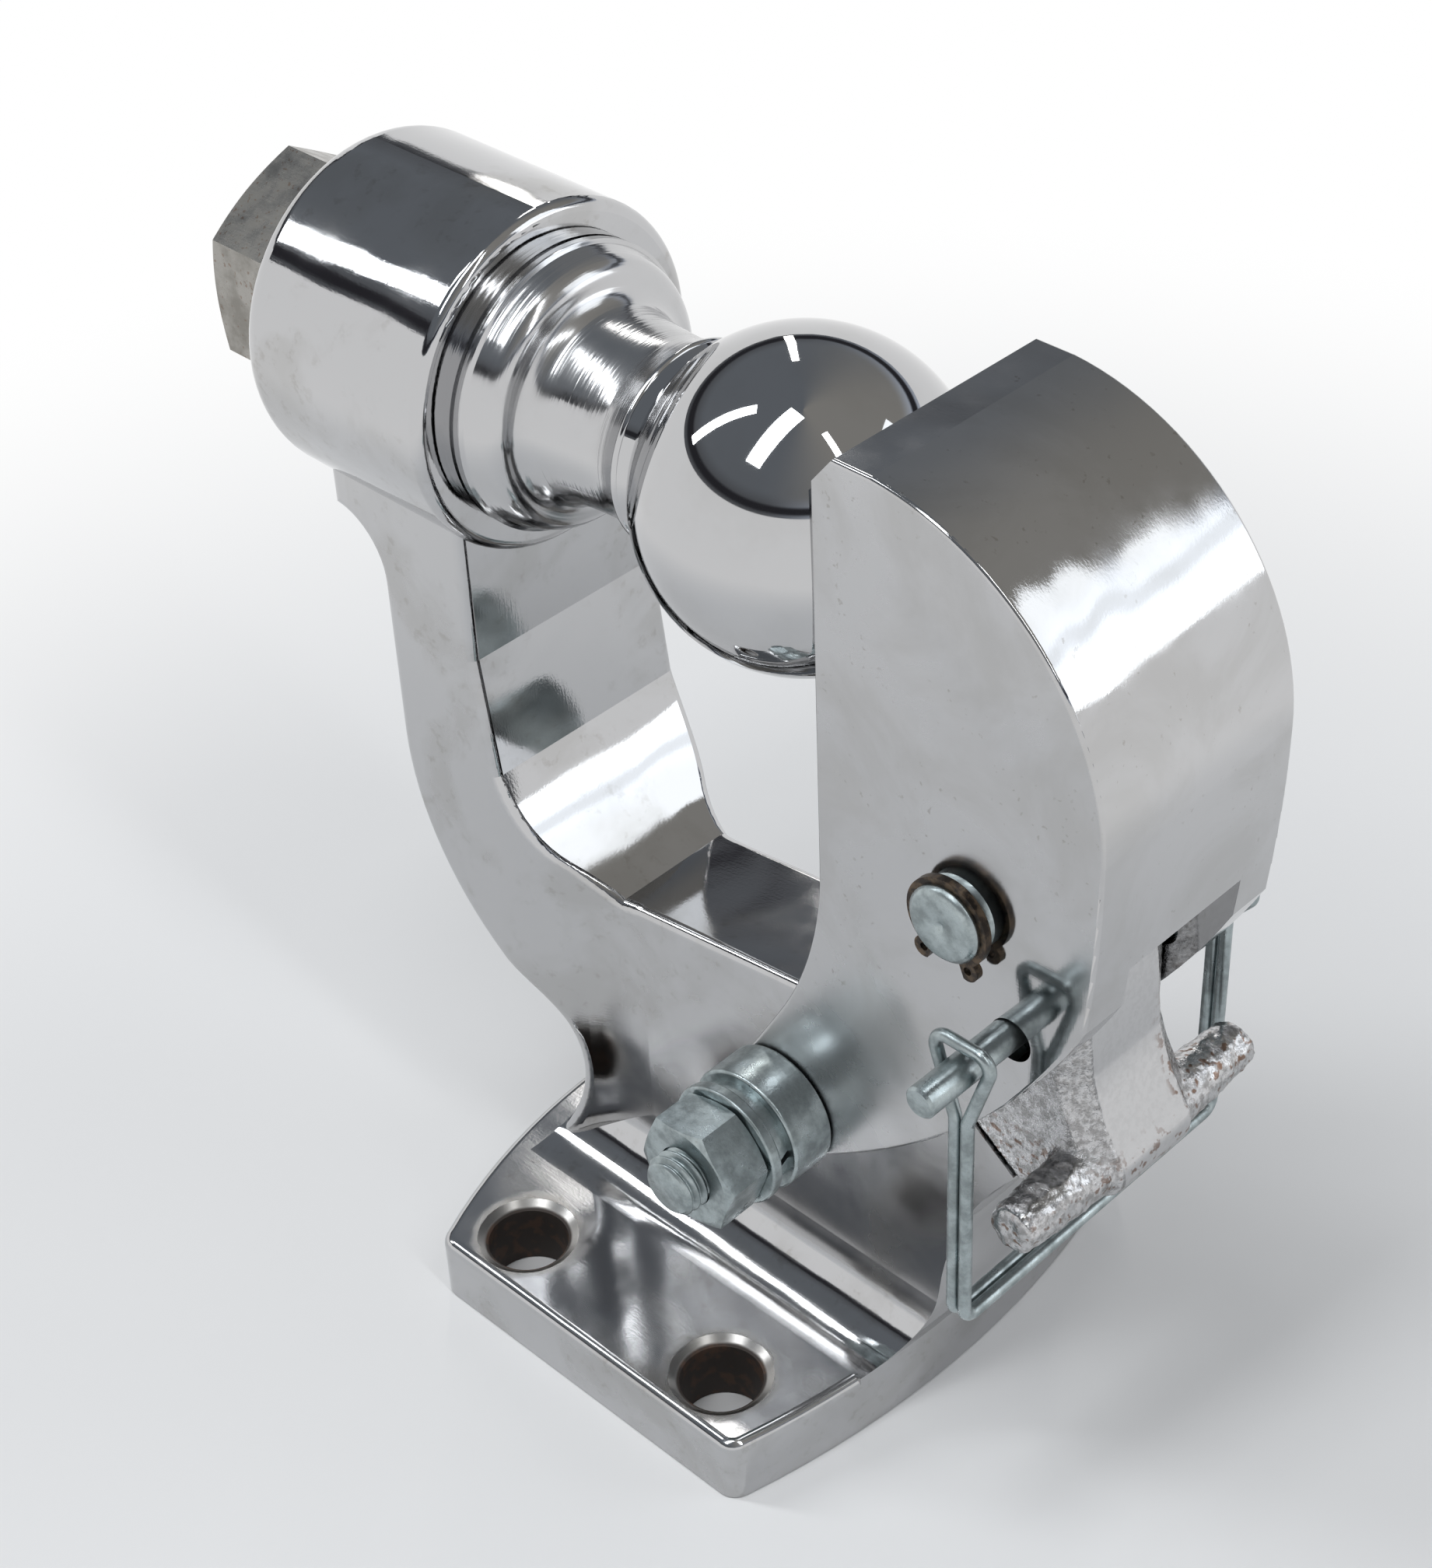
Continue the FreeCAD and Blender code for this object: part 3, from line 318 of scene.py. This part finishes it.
def cast_chrome():
    """Plated rough casting, with a ground and polished strip down its middle."""
    g = Graph("cast_chrome")
    place = g.axes()
    y, z = place[1], place[2]
    off_strip = g.ramp(g.calc("ABSOLUTE", y), 7.3 * MM, 8.1 * MM)
    grain = g.noise(900, 4.0, 0.65)
    lumps = g.cells(260)
    pits = g.calc("MULTIPLY", g.ramp(grain, 0.42, 0.62), g.blend(off_strip, 0.10, 0.65))
    colour = g.mix(pits, CHROME, CAST_PIT)
    edge = g.calc("MULTIPLY", g.ramp(y, 5.4 * MM, 7.2 * MM), g.ramp(z, 96 * MM, 74 * MM))
    foot = g.ramp(z, 75 * MM, 69 * MM)
    rust_zone = g.calc("MAXIMUM", edge, foot)
    dots = g.calc("MULTIPLY", g.ramp(g.noise(700, 3.0), 0.56, 0.64), rust_zone)
    colour = g.mix(g.calc("MULTIPLY", dots, 0.8), colour, RUST)
    strip_rough = g.ramp(grain, 0.4, 0.7, 0.12, 0.22)
    cast_rough = g.ramp(grain, 0.35, 0.7, 0.10, 0.26)
    rough = g.blend(off_strip, strip_rough, cast_rough)
    horn = g.ramp(g.calc("ABSOLUTE", y), 12.0 * MM, 13.5 * MM, 1.0, 0.35)
    coarse = g.calc("MULTIPLY", grain, g.calc("MULTIPLY", off_strip, horn))
    normal = g.bump(coarse, 0.0004)
    normal = g.bump(g.calc("MULTIPLY", lumps, off_strip), 0.0003, normal)
    normal = chrome_waves(g, 0.02, 0.0002, normal)
    return g.metal(colour, rough, normal)


def dull_chrome():
    """Worn plating with a few rust pits, on the ball's nut and lock washer."""
    g = Graph("dull_chrome")
    cloud = g.noise(160, 5.0, 0.6)
    pits = g.noise(1300, 2.0)
    colour = g.mix(g.ramp(cloud, 0.40, 0.66), NUT_PALE, NUT_DARK)
    colour = g.mix(g.calc("MULTIPLY", g.ramp(pits, 0.62, 0.7), 0.5), colour, RUST)
    rough = g.ramp(cloud, 0.3, 0.7, 0.20, 0.36)
    normal = chrome_waves(g, 0.012, 0.00015)
    normal = fine_scratches(g, normal, 0.000006)
    return g.metal(colour, rough, normal)


def zinc_plate():
    """Bluish mottled zinc on the fasteners, the collars and the safety pin."""
    g = Graph("zinc_plate")
    cloud = g.noise(240, 5.0, 0.65)
    grain = g.noise(2100, 3.0, 0.6)
    colour = g.mix(g.ramp(cloud, 0.38, 0.68), ZINC, ZINC_DARK)
    colour = g.mix(g.calc("MULTIPLY", g.ramp(grain, 0.62, 0.72), 0.35), colour, ZINC_SPECK)
    rough = g.ramp(cloud, 0.3, 0.7, 0.24, 0.42)
    normal = g.bump(grain, 0.00002)
    normal = g.bump(cloud, 0.00008, normal)
    return g.metal(colour, rough, normal)


def dark_clip():
    """Dark phosphate with brown patches, on the retaining rings."""
    g = Graph("dark_clip")
    cloud = g.noise(700, 4.0, 0.6)
    colour = g.mix(g.ramp(cloud, 0.4, 0.65), CLIP_DARK, CLIP_BROWN)
    rough = g.ramp(cloud, 0.3, 0.7, 0.30, 0.48)
    return g.metal(colour, rough, g.bump(cloud, 0.00004), 0.85)


def spring_wire():
    """Plain steel of the hidden spring."""
    g = Graph("spring_wire")
    cloud = g.noise(800, 3.0)
    colour = g.mix(cloud, WIRE_DARK, WIRE_PALE)
    return g.metal(colour, g.ramp(cloud, 0.3, 0.7, 0.28, 0.42), g.bump(cloud, 0.00003))


# Meshes

def new_piece(name, mesh, body, slot, material, *nodes):
    """A piece of the scene that rides on a body in place of the named nodes."""
    piece = bpy.data.objects.new(name, mesh)
    bpy.context.scene.collection.objects.link(piece)
    mesh.materials.clear()
    mesh.materials.append(material)
    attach(piece, body)
    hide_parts(*nodes)
    return piece


def shade_by_angle(bm, degrees):
    limit = math.radians(degrees)
    for face in bm.faces:
        face.smooth = True
    for edge in bm.edges:
        edge.smooth = len(edge.link_faces) == 2 and edge.calc_face_angle(0.0) < limit


def add_ring(bm, centre, turn, along, radii):
    """One ring of vertices round the turned axis, with a radius for each."""
    ring = []
    for j, radius in enumerate(radii):
        angle = 2 * math.pi * j / len(radii)
        spot = Vector((radius * math.cos(angle), radius * math.sin(angle), along))
        ring.append(bm.verts.new(Vector(centre) + turn @ spot))
    return ring


def join_rings(bm, rings):
    """Walls between the rings and a face over each end."""
    for low, high in zip(rings, rings[1:]):
        for j in range(len(low)):
            k = (j + 1) % len(low)
            bm.faces.new((low[j], low[k], high[k], high[j]))
    bm.faces.new(rings[-1])
    bm.faces.new(list(reversed(rings[0])))


def finished_mesh(bm, name, degrees):
    shade_by_angle(bm, degrees)
    mesh = bpy.data.meshes.new(name)
    bm.to_mesh(mesh)
    bm.free()
    return mesh


def threaded_copy(node, axis, centre, cut, end, radius, pitch, depth, chamfer):
    """The solid's mesh with its plain end replaced by a cut thread, from cut to end along the axis."""
    bm = bmesh.new()
    bm.from_mesh(NODES[node].data)
    bmesh.ops.remove_doubles(bm, verts=bm.verts, dist=0.000002)
    along = Vector(axis)
    plane = Vector(centre) + along * cut
    bmesh.ops.bisect_plane(bm, geom=bm.verts[:] + bm.edges[:] + bm.faces[:], plane_co=plane,
                           plane_no=along, clear_outer=True)
    rim = [edge for edge in bm.edges if len(edge.link_faces) == 1]
    bmesh.ops.holes_fill(bm, edges=rim, sides=0)
    turn = along.to_track_quat("Z", "Y").to_matrix()
    rows = int((end - cut) / pitch * ROWS_A_TURN)
    rings = []
    for i in range(rows + 1):
        t = cut + (end - cut) * i / rows
        limit = radius - max(0.0, chamfer - (end - t))
        radii = []
        for j in range(THREAD_COLUMNS):
            phase = (t / pitch - j / THREAD_COLUMNS) % 1.0
            tooth = abs(2 * phase - 1)
            crest = min(1.0, max(0.0, 1.25 * tooth - 0.1))
            radii.append(min(radius - depth * (1 - crest), limit))
        rings.append(add_ring(bm, centre, turn, t, radii))
    join_rings(bm, rings)
    return finished_mesh(bm, node + "_threaded", 32)


def lathe(name, profile, centre, axis, columns=96):
    """Turned piece from (distance along the axis, radius) pairs, closed at both ends."""
    bm = bmesh.new()
    turn = Vector(axis).to_track_quat("Z", "Y").to_matrix()
    rings = [add_ring(bm, centre, turn, along, [radius] * columns) for along, radius in profile]
    join_rings(bm, rings)
    return finished_mesh(bm, name, 25)


def smooth_step(value, low, high):
    t = min(1.0, max(0.0, (value - low) / (high - low)))
    return t * t * (3 - 2 * t)


def rough_pawl():
    """The pawl with the lumps and pits of its casting, and its middle strip left ground flat."""
    source = NODES["pawl"]
    bm = bmesh.new()
    bm.from_mesh(source.data)
    bmesh.ops.remove_doubles(bm, verts=bm.verts, dist=0.000002)
    mesh = bpy.data.meshes.new("pawl_casting")
    bm.to_mesh(mesh)
    bm.free()
    helper = bpy.data.objects.new("pawl_casting_source", mesh)
    bpy.context.scene.collection.objects.link(helper)
    remesh = helper.modifiers.new("even", "REMESH")
    remesh.mode = "VOXEL"
    remesh.voxel_size = CAST_VOXEL
    graph = bpy.context.evaluated_depsgraph_get()
    made = bpy.data.meshes.new_from_object(helper.evaluated_get(graph))
    bpy.data.objects.remove(helper)
    made.name = "pawl_casting"
    moves = []
    for vertex in made.vertices:
        p = vertex.co
        off = abs(p.y)
        rough = smooth_step(off, GROUND_HALF, CAST_HALF)
        pin = math.hypot(p.x - PAWL_PIN[0] * MM, p.z - PAWL_PIN[1] * MM)
        rough *= smooth_step(pin, 6.6 * MM, 8.0 * MM)
        on_horn = smooth_step(off, 12.2 * MM, 14.0 * MM)
        coarse = noise.noise(p * COARSE_WAVES)
        fine = noise.noise(p * FINE_WAVES + Vector((7, 3, 1)))
        inward = -0.00016 + 0.00013 * coarse + 0.00008 * fine
        lump = 0.00034 * coarse + 0.00016 * fine - 0.00008
        moves.append(vertex.normal * (rough * (inward * (1 - on_horn) + lump * on_horn)))
    for vertex, move in zip(made.vertices, moves):
        vertex.co += move
        if abs(vertex.co.y) > HORN_REACH:
            vertex.co.y = math.copysign(HORN_REACH, vertex.co.y)
    for polygon in made.polygons:
        polygon.use_smooth = True
    return made


def paint_solids(looks):
    """One material in every slot of each node's own mesh."""
    for name, material in looks.items():
        data = NODES[name].data
        if not data.materials:
            data.materials.append(material)
        for i in range(len(data.materials)):
            data.materials[i] = material


def pivot_bolt(material):
    """The jaw's bolt, threaded from inside its nut to its near end."""
    near_end = -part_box("jaw_pivot_bolt")[0][1]
    nut_back = -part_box("jaw_pivot_nut")[1][1]
    centre = (PIVOT[0] * MM, 0.0, PIVOT[1] * MM)
    mesh = threaded_copy("jaw_pivot_bolt", (0, -1, 0), centre, nut_back + INSIDE_PIVOT_NUT, near_end,
                         **PIVOT_THREAD)
    new_piece("pivot_bolt_with_thread", mesh, "hook", "zinc", material, "jaw_pivot_bolt")


def ball_and_stud(material):
    """The ball, threaded from inside its nut to the end of its shank."""
    shank_end = -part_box("hitch_ball")[0][0]
    nut_front = -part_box("ball_nut")[1][0]
    centre = (0.0, 0.0, BALL_AXIS_Z * MM)
    mesh = threaded_copy("hitch_ball", (-1, 0, 0), centre, nut_front + INSIDE_BALL_NUT, shank_end,
                         **STUD_THREAD)
    new_piece("ball_stud_with_thread", mesh, "hook", "mirror_chrome", material, "hitch_ball")


def turned_pin(material):
    """The pawl's pin: a dimple and a rounded rim at each end, and a groove for each ring."""
    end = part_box("pawl_pivot_pin")[1][1] - RING_SHIFT
    groove_out = end - GROOVE_BACK
    groove_in = groove_out - GROOVE_WIDTH
    dimple = [(end - 0.55 * MM, 0.05 * MM), (end - 0.15 * MM, 0.75 * MM), (end, 1.05 * MM)]
    rim = [(end, 5.0 * MM), (end - 0.18 * MM, 5.42 * MM), (end - 0.7 * MM, PIN_RADIUS)]
    groove = [(groove_out, PIN_RADIUS), (groove_out, GROOVE_RADIUS), (groove_in, GROOVE_RADIUS),
              (groove_in, PIN_RADIUS)]
    half = dimple + rim + groove
    profile = [(-along, radius) for along, radius in half]
    profile += [(along, radius) for along, radius in reversed(half)]
    centre = (PAWL_PIN[0] * MM, 0.0, PAWL_PIN[1] * MM)
    mesh = lathe("pawl_pin_turned", profile, centre, (0, 1, 0))
    new_piece("pawl_pin_turned", mesh, "jaw", "zinc", material, "pawl_pivot_pin")


def seated_rings(material):
    """The two retaining rings, moved in to the groove of the turned pin."""
    for side, node in ((1, "pawl_pin_circlip_near"), (-1, "pawl_pin_circlip_far")):
        mesh = NODES[node].data.copy()
        mesh.transform(Matrix.Translation((0.0, side * RING_SHIFT, 0.0)))
        new_piece(node + "_seated", mesh, "jaw", "dark_phosphate", material, node)


def dress():
    hook = hook_chrome()
    jaw = jaw_chrome()
    ball = ball_chrome()
    cast = cast_chrome()
    dull = dull_chrome()
    zinc = zinc_plate()
    clip = dark_clip()
    wire = spring_wire()
    paint_solids({
        "hook_body": hook, "hitch_ball": ball, "ball_lock_washer": dull, "ball_nut": dull,
        "jaw": jaw, "jaw_pivot_bolt": zinc, "jaw_pivot_nut": zinc, "jaw_pivot_lock_washer": zinc,
        "jaw_pivot_washer_near": zinc, "jaw_pivot_washer_far": zinc,
        "jaw_pivot_collar_near": zinc, "jaw_pivot_collar_far": zinc,
        "pawl": cast, "pawl_pivot_pin": zinc, "pawl_pin_circlip_near": clip,
        "pawl_pin_circlip_far": clip, "pawl_spring": wire, "safety_pin": zinc, "safety_pin_bail": zinc,
    })
    pivot_bolt(zinc)
    ball_and_stud(ball)
    turned_pin(zinc)
    seated_rings(clip)
    new_piece("pawl_casting", rough_pawl(), "pawl", "cast_chrome", cast, "pawl")


# Floor, light and camera, in metres

FLOOR_HALF = 2.4
FLOOR_DROP = 0.0002
CEILING_RADIUS = 3.6
CEILING_FOOT = 0.38
SHADOW_FADE = (0.13, 0.38)
FLOOR_COLOUR = (0.84, 0.84, 0.84)
WHITE = (1.0, 1.0, 1.0)
SKY = (0.95, 0.97, 1.0)
SKY_STRENGTH = 0.34
WALL_DARK = (0.11, 0.115, 0.125)
WALL_PALE = (0.52, 0.57, 0.66)
CEILING_DARK = (0.17, 0.185, 0.205)
CEILING_PALE = (0.32, 0.31, 0.29)
CORNICE = (0.03, 0.03, 0.035)
PALE_SIDE = 30
COOL = (0.96, 0.98, 1.0)
DAYLIGHT = (0.92, 0.96, 1.0)
WARM = (1.0, 0.98, 0.95)
LAMP_TARGET = (0.0, 0.0, 0.09)


def panel(name, corners, material):
    mesh = bpy.data.meshes.new(name)
    mesh.from_pydata(corners, [], [tuple(range(len(corners)))])
    mesh.materials.append(material)
    made = bpy.data.objects.new(name, mesh)
    bpy.context.scene.collection.objects.link(made)
    return made


def lights_nothing(thing):
    """Seen by the camera, mirrors and glass, but it neither lights nor shades dull surfaces."""
    thing.visible_diffuse = False
    thing.visible_shadow = False
    thing.visible_volume_scatter = False


def ceiling_material():
    """Soft painted glow of the studio's ceiling for the metal to mirror, pale on one side as a lit
    wall would be, with a dark cornice round its foot.
    """
    g = Graph("studio_ceiling")
    unit = g.node("ShaderNodeVectorMath")
    unit.operation = "NORMALIZE"
    g.link(g.place(), unit.inputs[0])
    x, y, z = g.axes(unit.outputs["Vector"])
    azimuth = g.calc("ARCTAN2", y, x)
    swing = g.calc("COSINE", g.calc("SUBTRACT", azimuth, math.radians(PALE_SIDE)))
    # painted light: walls and ceiling glow paler on one side, as if lit from there
    side = g.ramp(swing, -0.35, 0.85)
    wall = g.mix(side, WALL_DARK, WALL_PALE)
    ceiling = g.mix(side, CEILING_DARK, CEILING_PALE)
    upper = g.ramp(z, 0.46, 0.60)
    colour = g.mix(upper, wall, ceiling)
    # painted dark band of a cornice in the glow
    cornice = g.calc("MULTIPLY", g.ramp(z, 0.40, 0.43), g.ramp(z, 0.50, 0.47))
    colour = g.mix(cornice, colour, CORNICE)
    glow = g.node("ShaderNodeEmission")
    g.link(colour, glow.inputs["Color"])
    glow.inputs["Strength"].default_value = 1.0
    g.link(glow.outputs[0], g.out.inputs["Surface"])
    g.material.cycles.emission_sampling = "NONE"
    return g.material


def floor_material():
    """Pale floor with a soft shadow near the part that fades into the white background.

    The camera, mirrors and glass see the white, which adds no light to dull surfaces."""
    g = Graph("pale_floor")
    path = g.node("ShaderNodeLightPath")
    seen = g.calc("MAXIMUM", path.outputs["Is Camera Ray"], path.outputs["Is Glossy Ray"])
    seen = g.calc("MAXIMUM", seen, path.outputs["Is Transmission Ray"])
    base = g.node("ShaderNodeBsdfPrincipled")
    base.inputs["Base Color"].default_value = (*FLOOR_COLOUR, 1)
    base.inputs["Roughness"].default_value = 0.9
    base.inputs["Specular IOR Level"].default_value = 0.0
    white = g.node("ShaderNodeEmission")
    white.inputs["Color"].default_value = (*WHITE, 1)
    white.inputs["Strength"].default_value = 1.0
    place = g.axes()
    far = g.ramp(g.ring_distance(place[0], place[1], 0.0, 0.0), *SHADOW_FADE)
    both = g.node("ShaderNodeMixShader")
    g.link(g.calc("MULTIPLY", far, seen), both.inputs[0])
    g.link(base.outputs[0], both.inputs[1])
    g.link(white.outputs[0], both.inputs[2])
    g.link(both.outputs[0], g.out.inputs["Surface"])
    g.material.cycles.emission_sampling = "NONE"
    return g.material


def make_floor():
    turns = ((-1, -1), (1, -1), (1, 1), (-1, 1))
    corners = [(FLOOR_HALF * a, FLOOR_HALF * b, -FLOOR_DROP) for a, b in turns]
    panel("floor", corners, floor_material())


def make_ceiling():
    bm = bmesh.new()
    bmesh.ops.create_uvsphere(bm, u_segments=64, v_segments=32, radius=CEILING_RADIUS)
    under = [face for face in bm.faces if face.calc_center_median().z < CEILING_FOOT * CEILING_RADIUS]
    bmesh.ops.delete(bm, geom=under, context="FACES")
    mesh = bpy.data.meshes.new("studio_ceiling")
    bm.to_mesh(mesh)
    bm.free()
    mesh.materials.append(ceiling_material())
    ceiling = bpy.data.objects.new("studio_ceiling", mesh)
    bpy.context.scene.collection.objects.link(ceiling)
    lights_nothing(ceiling)


def make_world():
    """White where the camera, a mirror or glass looks, and a dim pale sky as the light."""
    world = bpy.data.worlds.new("world")
    bpy.context.scene.world = world
    world.use_nodes = True
    tree = world.node_tree
    tree.nodes.clear()
    out = tree.nodes.new("ShaderNodeOutputWorld")
    white = tree.nodes.new("ShaderNodeBackground")
    soft = tree.nodes.new("ShaderNodeBackground")
    mixed = tree.nodes.new("ShaderNodeMixShader")
    path = tree.nodes.new("ShaderNodeLightPath")
    first = tree.nodes.new("ShaderNodeMath")
    second = tree.nodes.new("ShaderNodeMath")
    first.operation = "MAXIMUM"
    second.operation = "MAXIMUM"
    tree.links.new(path.outputs["Is Camera Ray"], first.inputs[0])
    tree.links.new(path.outputs["Is Glossy Ray"], first.inputs[1])
    tree.links.new(first.outputs[0], second.inputs[0])
    tree.links.new(path.outputs["Is Transmission Ray"], second.inputs[1])
    white.inputs["Color"].default_value = (*WHITE, 1)
    white.inputs["Strength"].default_value = 1.0
    soft.inputs["Color"].default_value = (*SKY, 1)
    soft.inputs["Strength"].default_value = SKY_STRENGTH
    tree.links.new(second.outputs[0], mixed.inputs["Fac"])
    tree.links.new(soft.outputs[0], mixed.inputs[1])
    tree.links.new(white.outputs[0], mixed.inputs[2])
    tree.links.new(mixed.outputs[0], out.inputs["Surface"])


def area_light(name, place, width, length, power, colour):
    """Rectangular lamp aimed at the part, with its power in watts."""
    data = bpy.data.lights.new(name, "AREA")
    data.shape = "RECTANGLE"
    data.size = width
    data.size_y = length
    data.energy = power
    data.color = colour
    lamp = bpy.data.objects.new(name, data)
    bpy.context.scene.collection.objects.link(lamp)
    lamp.location = place
    ahead = Vector(LAMP_TARGET) - Vector(place)
    lamp.rotation_euler = ahead.to_track_quat("-Z", "Y").to_euler()


def make_lights():
    area_light("strip_left", (-0.95, -0.55, 1.25), 0.16, 1.1, 6.4, COOL)
    area_light("strip_middle", (-0.05, -0.55, 1.40), 0.26, 1.0, 6.4, COOL)
    area_light("window_right", (1.05, 0.86, 0.85), 0.60, 1.00, 3.1, DAYLIGHT)
    area_light("strip_front", (0.95, -0.15, 1.30), 0.10, 1.1, 3.2, COOL)
    area_light("strip_back", (-1.15, 1.05, 1.30), 0.10, 1.0, 2.2, WARM)


def make_camera():
    """The photo's own view, with its perspective and its off-centre crop."""
    data = bpy.data.cameras.new("camera")
    data.sensor_fit = "AUTO"
    data.sensor_width = SENSOR
    data.lens = FOCAL_PIXELS * SENSOR / IMAGE_HEIGHT
    data.shift_x = (IMAGE_WIDTH / 2 - CENTRE_X) / IMAGE_HEIGHT
    data.shift_y = (CENTRE_Y - IMAGE_HEIGHT / 2) / IMAGE_HEIGHT
    data.clip_start = 0.01
    data.clip_end = 20.0
    camera = bpy.data.objects.new("camera", data)
    bpy.context.scene.collection.objects.link(camera)
    columns = (CAMERA_RIGHT, -CAMERA_DOWN, -CAMERA_AHEAD)
    matrix = Matrix.Identity(4)
    for i, column in enumerate(columns):
        for j in range(3):
            matrix[j][i] = column[j]
    for j in range(3):
        matrix[j][3] = CAMERA_PLACE[j] * MM
    camera.matrix_world = matrix
    bpy.context.scene.camera = camera


dress()
make_floor()
make_ceiling()
make_world()
make_lights()
make_camera()
bpy.context.scene.view_settings.view_transform = "Standard"
bpy.context.view_layer.update()
